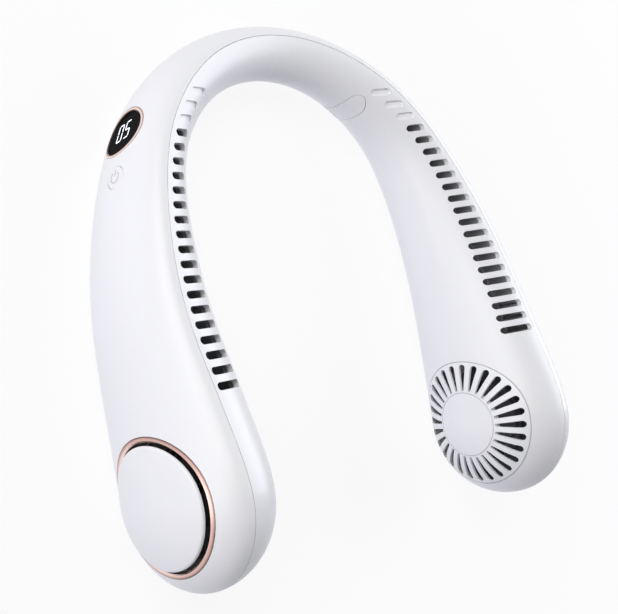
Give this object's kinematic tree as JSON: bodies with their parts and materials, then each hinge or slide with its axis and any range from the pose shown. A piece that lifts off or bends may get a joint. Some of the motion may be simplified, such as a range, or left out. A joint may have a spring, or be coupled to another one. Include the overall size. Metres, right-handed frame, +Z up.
{
  "type": "electric neck fan",
  "caption": "U-shaped wearable neck fan with a blower pod at each end, air slots along the arms, a round display, a power button and a covered charging port.",
  "frame": {"origin": "on the surface it rests on, under the centre of the overall box", "axes": "+Z up from the lower edge, +Y toward the back of the neck, the pods at -Y, +X toward the arm with the port"},
  "size_m": [0.1984, 0.1916, 0.0607],
  "materials": {
    "white_shell": "satin gloss moulded ABS",
    "rose_gold": "anodised rose gold, polished",
    "black_plastic": "matte black moulding",
    "impeller_plastic": "matte dark moulding",
    "display_glass": "gloss black smoked window",
    "steel": "plain",
    "bronze": "sintered",
    "magnet": "dark",
    "copper": "enamelled wire",
    "cell_sleeve": "blue sleeve",
    "wire_jacket": "matte black",
    "circuit_board": "green solder mask",
    "white_silicone": "soft white silicone"
  },
  "bodies": {
    "body": {"outer_shell": "white_shell", "inner_shell": "white_shell", "display_bezel": "rose_gold", "display_lens": "display_glass", "display_module": "black_plastic", "display_board": "circuit_board", "tact_switch": "steel", "control_board": "circuit_board", "charge_board": "circuit_board", "usb_socket": "steel", "port_hinge_pin": "steel", "left_trim_ring": "rose_gold", "right_trim_ring": "rose_gold", "left_disc_cover": "white_shell", "right_disc_cover": "white_shell", "left_disc_screws": "steel", "right_disc_screws": "steel", "left_grille": "white_shell", "right_grille": "white_shell", "left_grille_cap": "white_shell", "right_grille_cap": "white_shell", "left_scroll": "black_plastic", "right_scroll": "black_plastic", "left_scroll_cover": "black_plastic", "right_scroll_cover": "black_plastic", "left_bearing": "bronze", "right_bearing": "bronze", "left_stator": "magnet", "right_stator": "magnet", "left_coils": "copper", "right_coils": "copper", "left_air_duct": "black_plastic", "right_air_duct": "black_plastic", "left_battery": "cell_sleeve", "right_battery": "cell_sleeve", "left_harness": "wire_jacket", "right_harness": "wire_jacket"},
    "left_rotor": {"left_impeller": "impeller_plastic", "left_rotor_magnet": "magnet", "left_motor_shaft": "steel"},
    "right_rotor": {"right_impeller": "impeller_plastic", "right_rotor_magnet": "magnet", "right_motor_shaft": "steel"},
    "power_button": {"power_button": "white_shell"},
    "port_cover": {"port_cover": "white_silicone"}
  },
  "joints": [
    {"name": "left_impeller_spin", "type": "hinge", "parent": "body", "child": "left_rotor", "pos_m": [-0.08249, -0.06548, 0.03035], "axis": [-0.9996, -0.0279, 0], "continuous": true},
    {"name": "right_impeller_spin", "type": "hinge", "parent": "body", "child": "right_rotor", "pos_m": [0.08249, -0.06548, 0.03035], "axis": [0.9996, -0.0279, 0], "continuous": true},
    {"name": "power_button_press", "type": "slide", "parent": "body", "child": "power_button", "axis": [0.93, -0.3676, 0], "range_m": [0, 0.0005], "stiffness_N_per_m": 800},
    {"name": "port_cover_swing", "type": "hinge", "parent": "body", "child": "port_cover", "pos_m": [0.03917, 0.0657, 0.0074], "axis": [0.8021, -0.5971, 0], "range_deg": [0, 100]}
  ]
}
